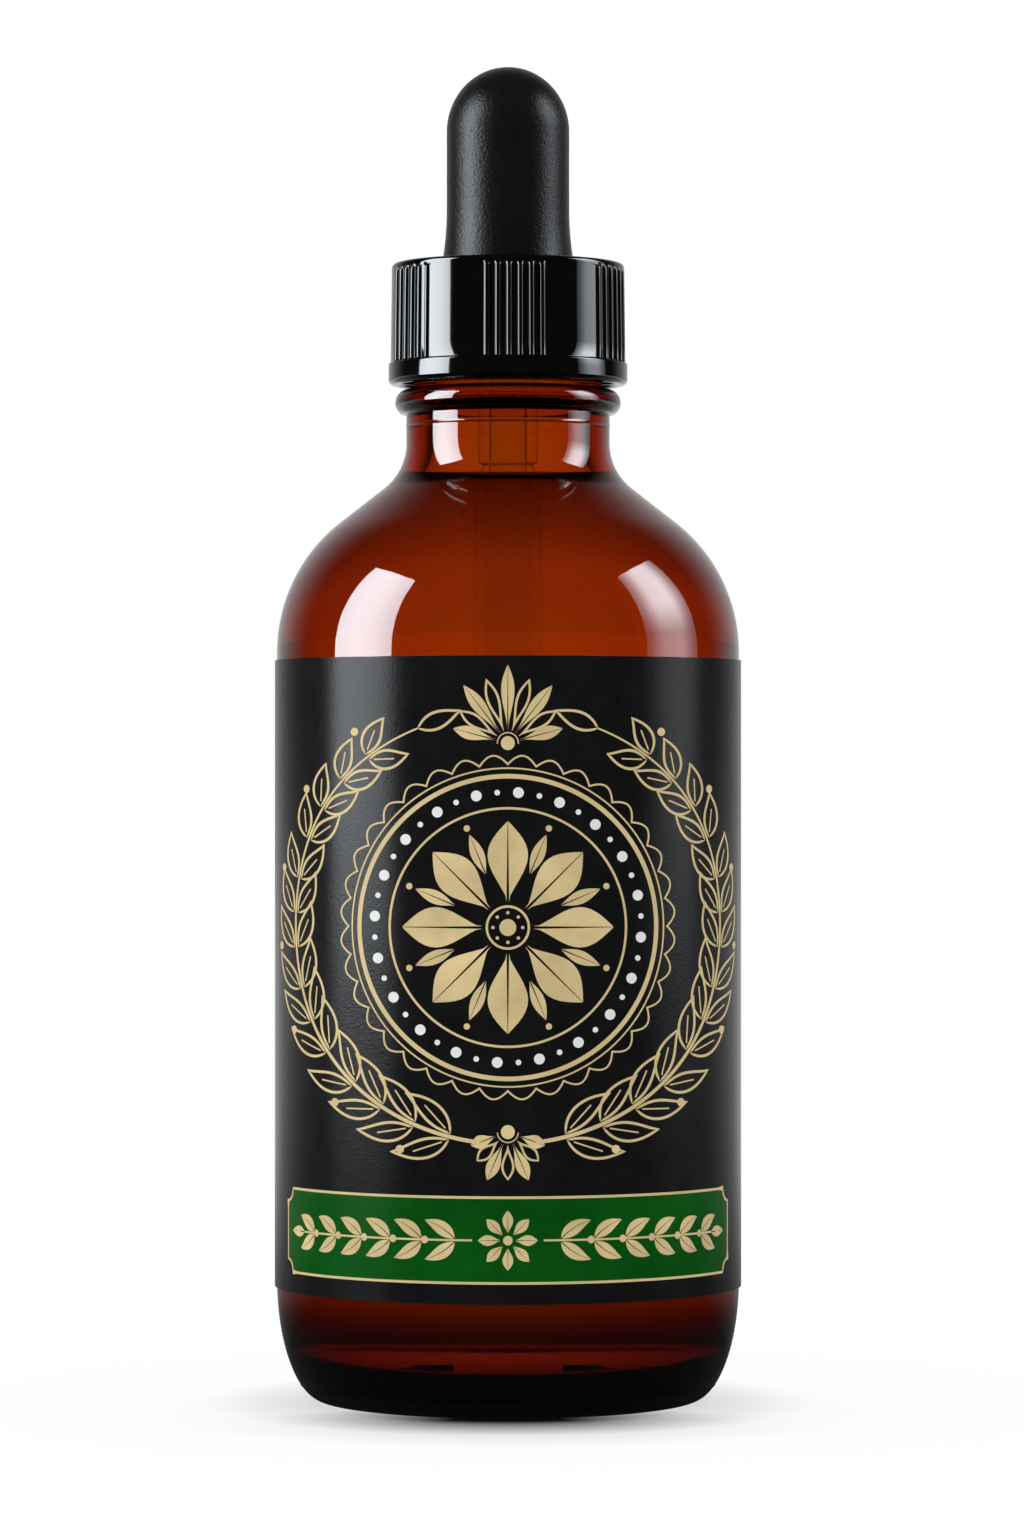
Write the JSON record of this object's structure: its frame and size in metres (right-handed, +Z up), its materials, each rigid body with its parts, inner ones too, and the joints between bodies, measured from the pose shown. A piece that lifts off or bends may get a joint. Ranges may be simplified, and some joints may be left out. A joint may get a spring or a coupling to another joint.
{
  "type": "dropper bottle",
  "caption": "Round glass bottle with a paper label, closed by a ribbed screw cap that carries a rubber squeeze bulb and a glass pipette.",
  "frame": {"origin": "centre of the ring that the bottle stands on, at the level of the surface under it", "axes": "+Z up along the bottle's and the thread's axis; the front of the label faces -Y, and the label's open seam is at +Y"},
  "size_m": [0.0484, 0.0482, 0.1384],
  "materials": {
    "amber_glass": "glossy, amber",
    "clear_glass": "glossy, clear",
    "label_paper": "matte black paper with printed gold, cream and green",
    "cap_plastic": "gloss black",
    "bulb_rubber": "fine-grained matte black"
  },
  "bodies": {
    "bottle": {"bottle": "amber_glass", "label": "label_paper"},
    "dropper": {"pipette": "clear_glass"},
    "cap": {"cap": "cap_plastic"},
    "bulb": {"bulb": "bulb_rubber"}
  },
  "joints": [
    {"name": "closure_rise", "type": "slide", "parent": "bottle", "child": "dropper", "axis": [0, 0, 1], "range_m": [0, 0.00397]},
    {"name": "cap_turn", "type": "hinge", "parent": "dropper", "child": "cap", "pos_m": [0, 0, 0.1138], "axis": [0, 0, 1], "range_deg": [0, 450]},
    {"name": "bulb_press", "type": "slide", "parent": "dropper", "child": "bulb", "axis": [0, 0, -1], "range_m": [0, 0.006], "stiffness_N_per_m": 400, "deforming": ["bulb"]}
  ],
  "couplings": [
    {"joint": "cap_turn", "follows": "closure_rise", "rad_per_m": 1979}
  ]
}
